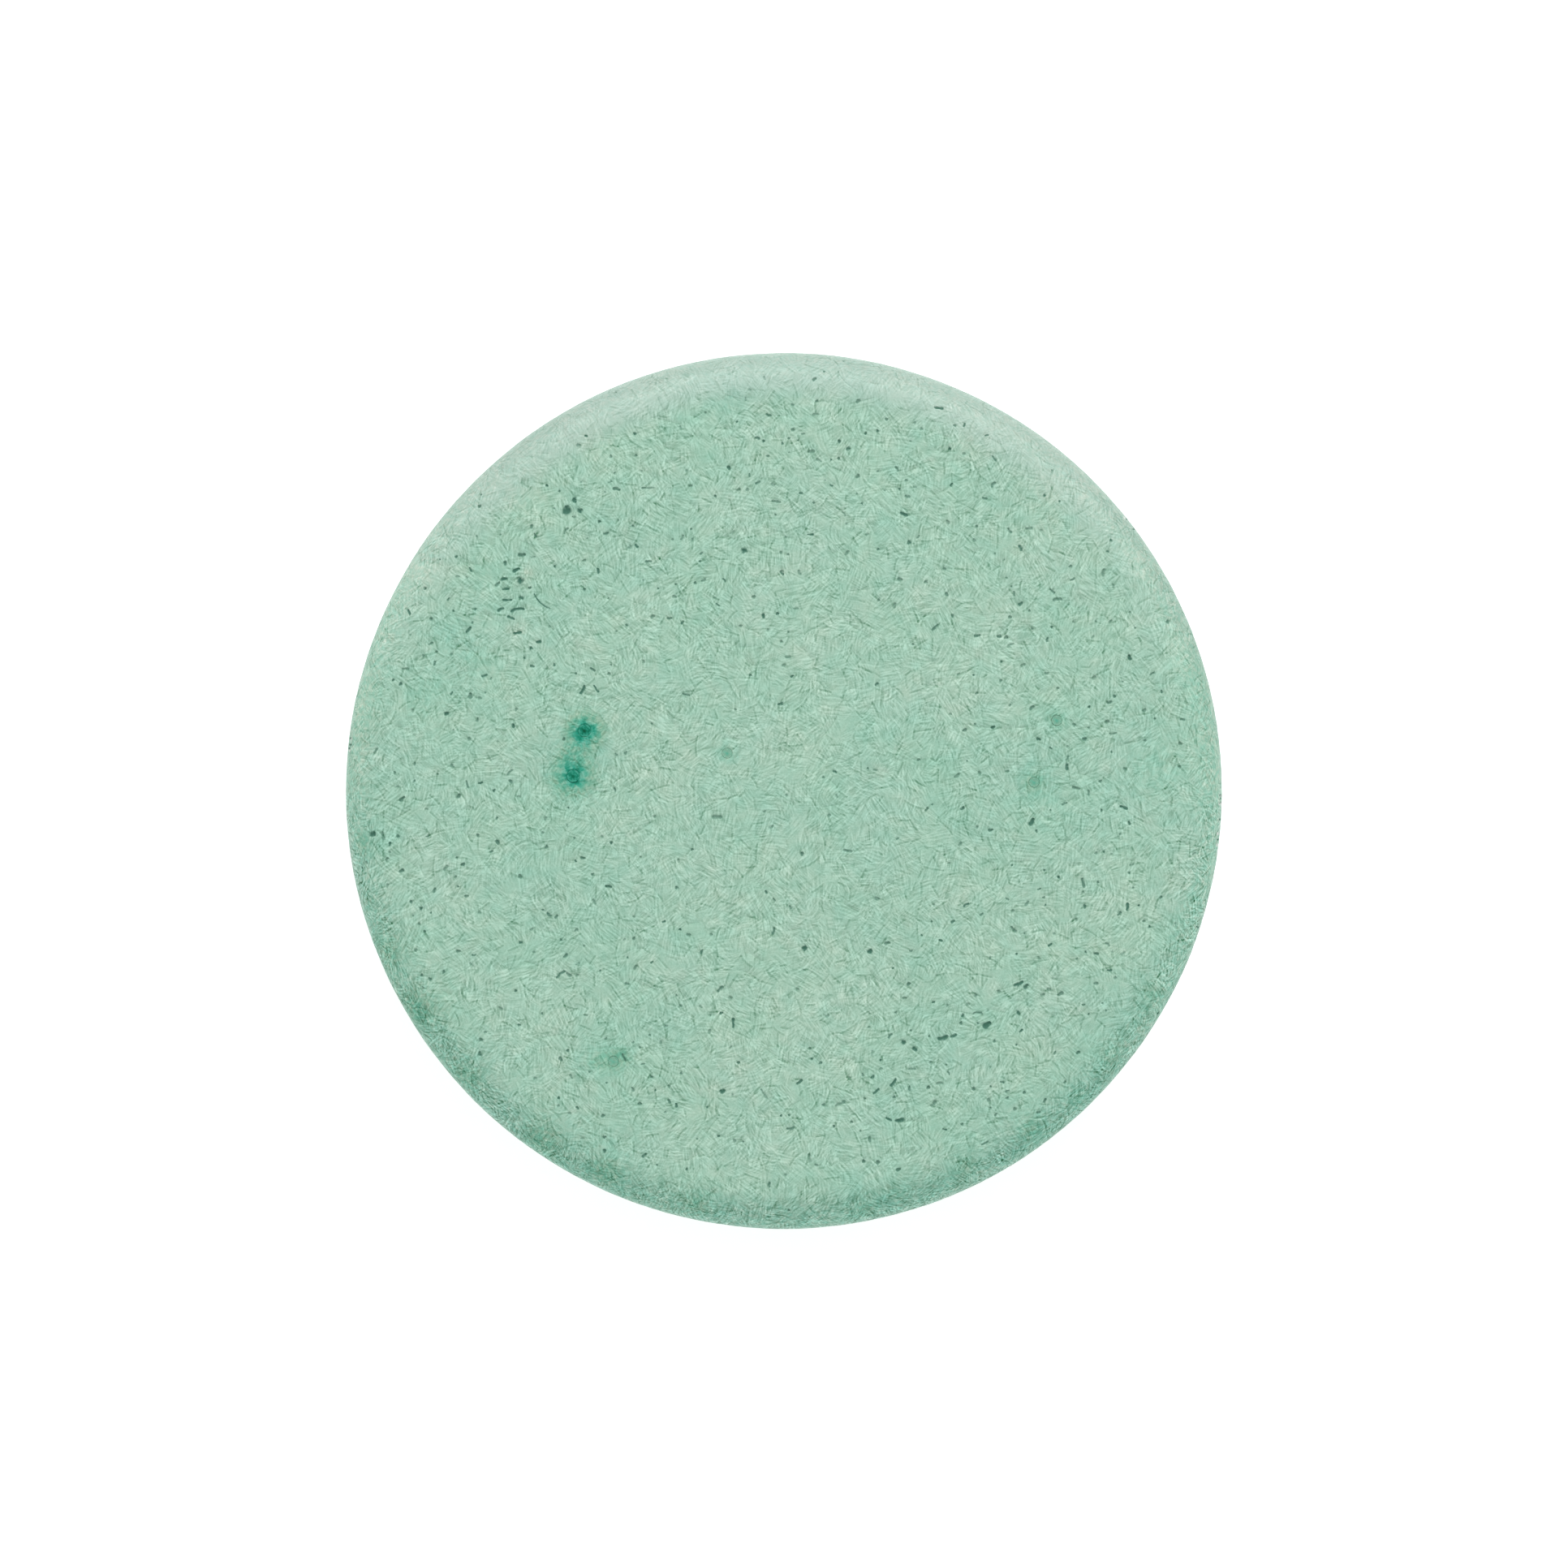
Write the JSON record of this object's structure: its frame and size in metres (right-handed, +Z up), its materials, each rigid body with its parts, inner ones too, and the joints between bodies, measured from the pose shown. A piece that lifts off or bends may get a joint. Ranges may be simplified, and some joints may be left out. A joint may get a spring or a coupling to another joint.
{
  "type": "shaving soap puck",
  "caption": "Round cake of hard shaving soap with two flat faces and rounded edges, mint green with fine crystal streaks, pits and dye grains, for lathering with a brush.",
  "frame": {"origin": "centre of the bottom face, the flat face that the puck rests on", "axes": "+Z up along the axis of the round cake; +X and +Y lie in the faces, and +Y is the upper side of the pictured top face"},
  "size_m": [0.07, 0.07, 0.025],
  "materials": {
    "soap": "satin",
    "dye": "satin"
  },
  "bodies": {
    "root": {"soap_puck": "soap", "dye_grain_1": "dye", "dye_grain_2": "dye", "dye_grain_3": "dye", "dye_grain_4": "dye", "dye_grain_5": "dye", "dye_grain_6": "dye"}
  },
  "joints": []
}
